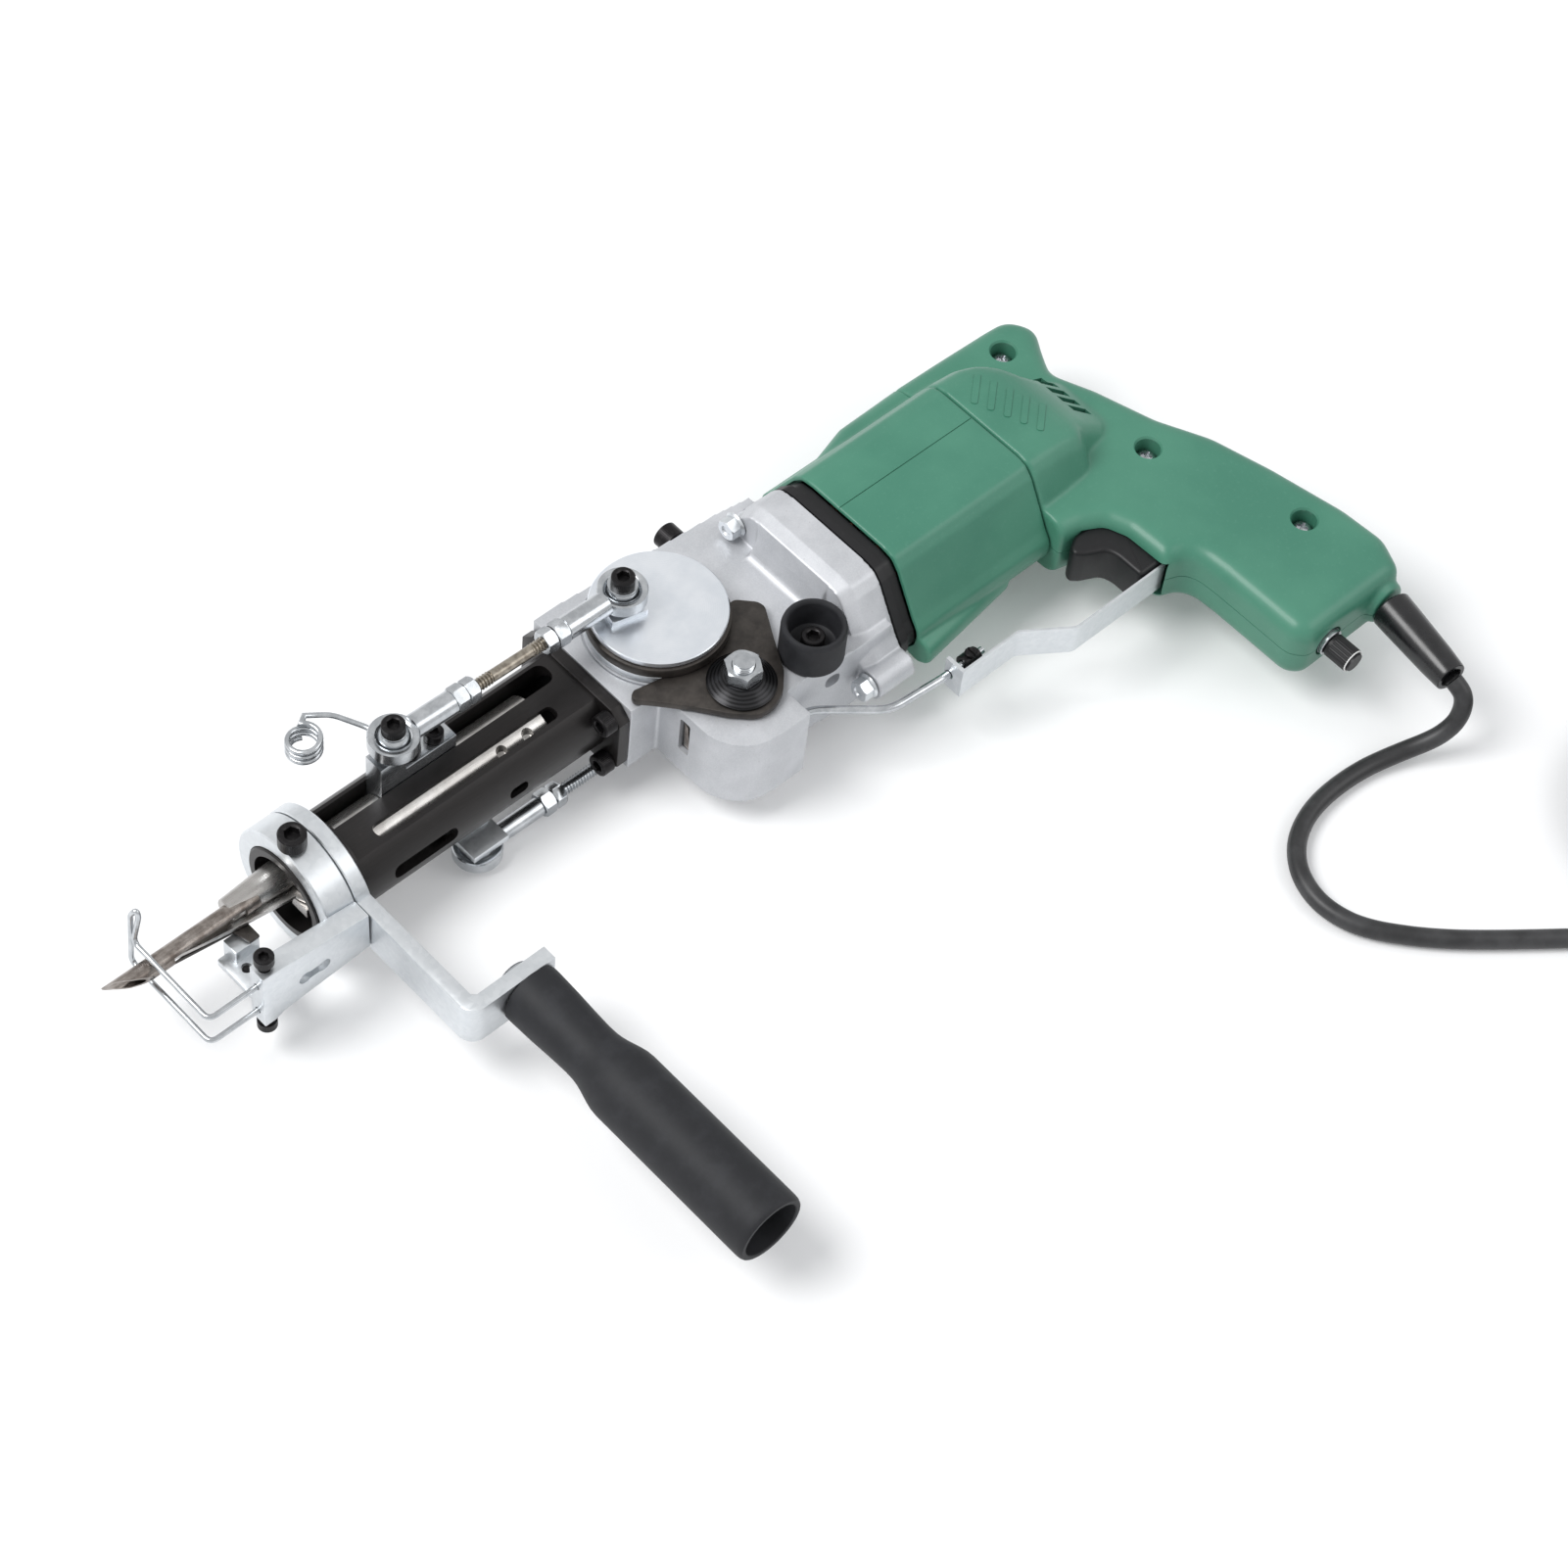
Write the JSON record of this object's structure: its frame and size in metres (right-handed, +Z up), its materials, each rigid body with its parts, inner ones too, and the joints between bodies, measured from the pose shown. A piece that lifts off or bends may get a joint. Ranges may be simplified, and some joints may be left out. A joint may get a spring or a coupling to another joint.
{
  "type": "handheld tufting machine",
  "caption": "Handheld tufting machine: motor housing with pistol handle, crank and rods, slotted tube with sliding hollow needle and scissors, side grip, speed knob, guard wire and cord.",
  "frame": {"origin": "middle of the machine without its cord, on the surface it lies on", "axes": "+X from the needle towards the rear housing, -Y towards the ends of both handles, +Z up from the surface"},
  "size_m": [0.55, 0.434, 0.0745],
  "materials": {
    "cast_aluminium": "bead blasted casting, satin",
    "zinc_plate": "zinc plated, bluish white",
    "bright_steel": "ground steel, bright",
    "dark_steel": "oiled dark brown steel",
    "black_anodised": "black anodised, satin",
    "black_screw": "black oxide",
    "green_plastic": "moulded, fine satin grain",
    "black_plastic": "moulded, satin",
    "black_rubber": "smooth rubber, slight sheen",
    "brass_zinc": "yellow passivated",
    "winding": "lacquered winding and laminated core"
  },
  "bodies": {
    "frame": {"gearbox_casting": "cast_aluminium", "bolt_far": "zinc_plate", "bolt_near": "zinc_plate", "shaft_cap_screw": "black_screw", "rubber_cup": "black_rubber", "cup_screw": "black_screw", "slotted_tube": "black_anodised", "flange_screw_upper": "black_screw", "flange_screw_lower": "black_screw", "front_clamp": "zinc_plate", "clamp_screw": "black_screw", "wire_screw_upper": "black_screw", "wire_screw_lower": "black_screw", "foot_plate": "zinc_plate", "fixed_blade": "dark_steel", "handle_bracket": "zinc_plate", "handle_bolt": "zinc_plate", "handle_grip": "black_rubber", "end_bracket": "black_plastic", "motor_shell": "green_plastic", "housing_upper": "green_plastic", "housing_lower": "green_plastic", "housing_screw_rear": "zinc_plate", "housing_screw_middle": "zinc_plate", "housing_screw_butt": "zinc_plate", "speed_control": "zinc_plate", "cord_guard": "black_rubber", "cord": "black_rubber", "cord_coil": "black_rubber", "plug": "black_rubber"},
    "crank": {"crank_disc": "zinc_plate", "crank_cam": "dark_steel"},
    "armature": {"armature": "winding"},
    "rocker": {"rocker_plate": "dark_steel", "cone_washer": "dark_steel", "rocker_nut": "zinc_plate", "rocker_shaft": "zinc_plate"},
    "needle_carriage": {"needle_slider": "bright_steel", "needle": "bright_steel", "slider_bracket": "zinc_plate", "bracket_screw_front": "black_screw", "bracket_screw_rear": "black_screw", "yarn_guide": "zinc_plate", "front_pin": "black_screw"},
    "upper_rod": {"rod_end_front": "zinc_plate", "jam_nut_front": "zinc_plate", "rod_stud": "brass_zinc", "jam_nut_rear": "zinc_plate", "rod_end_rear": "zinc_plate", "crank_pin": "black_screw"},
    "scissor": {"scissor_slider": "bright_steel", "moving_blade": "bright_steel"},
    "lower_rod": {"lower_rod_end_front": "zinc_plate", "lower_rod_end_rear": "zinc_plate"},
    "trigger": {"trigger": "black_plastic", "trigger_strip": "zinc_plate", "brake_rod": "bright_steel", "rod_clamp": "black_screw"},
    "speed_knob": {"speed_knob": "black_plastic"},
    "guard_wire": {"guard_wire": "zinc_plate"}
  },
  "joints": [
    {"name": "crank_turn", "type": "hinge", "parent": "frame", "child": "crank", "pos_m": [0.00052, 0.07847, 0.0575], "axis": [0, 0, 1], "continuous": true},
    {"name": "armature_spin", "type": "hinge", "parent": "frame", "child": "armature", "pos_m": [0.09052, 0.06347, 0.0315], "axis": [1, 0, 0], "continuous": true},
    {"name": "needle_stroke", "type": "slide", "parent": "frame", "child": "needle_carriage", "axis": [1, 0, 0], "range_m": [-0.003, 0.0227]},
    {"name": "upper_rod_swing", "type": "hinge", "parent": "needle_carriage", "child": "upper_rod", "pos_m": [-0.10948, 0.08877, 0.0655], "axis": [0, 0, 1], "range_deg": [-12, 2.7]},
    {"name": "rocker_swing", "type": "hinge", "parent": "frame", "child": "rocker", "pos_m": [0.00442, 0.03937, 0.0495], "axis": [0, 0, 1], "range_deg": [0, 8]},
    {"name": "scissor_stroke", "type": "slide", "parent": "frame", "child": "scissor", "axis": [1, 0, 0], "range_m": [-0.002, 0.006]},
    {"name": "lower_rod_swing", "type": "hinge", "parent": "scissor", "child": "lower_rod", "pos_m": [-0.08968, 0.06777, 0.006], "axis": [0, 0, 1], "range_deg": [-3, 3]},
    {"name": "trigger_pull", "type": "slide", "parent": "frame", "child": "trigger", "axis": [1, 0, 0], "range_m": [0, 0.005], "stiffness_N_per_m": 400},
    {"name": "speed_turn", "type": "hinge", "parent": "frame", "child": "speed_knob", "pos_m": [0.18992, -0.07853, 0.0315], "axis": [0, 1, 0], "range_deg": [-135, 135]},
    {"name": "wire_adjust", "type": "slide", "parent": "frame", "child": "guard_wire", "axis": [1, 0, 0], "range_m": [-0.006, 0.006]}
  ],
  "couplings": [
    {"joint": "armature_spin", "follows": "crank_turn", "ratio": 10}
  ]
}
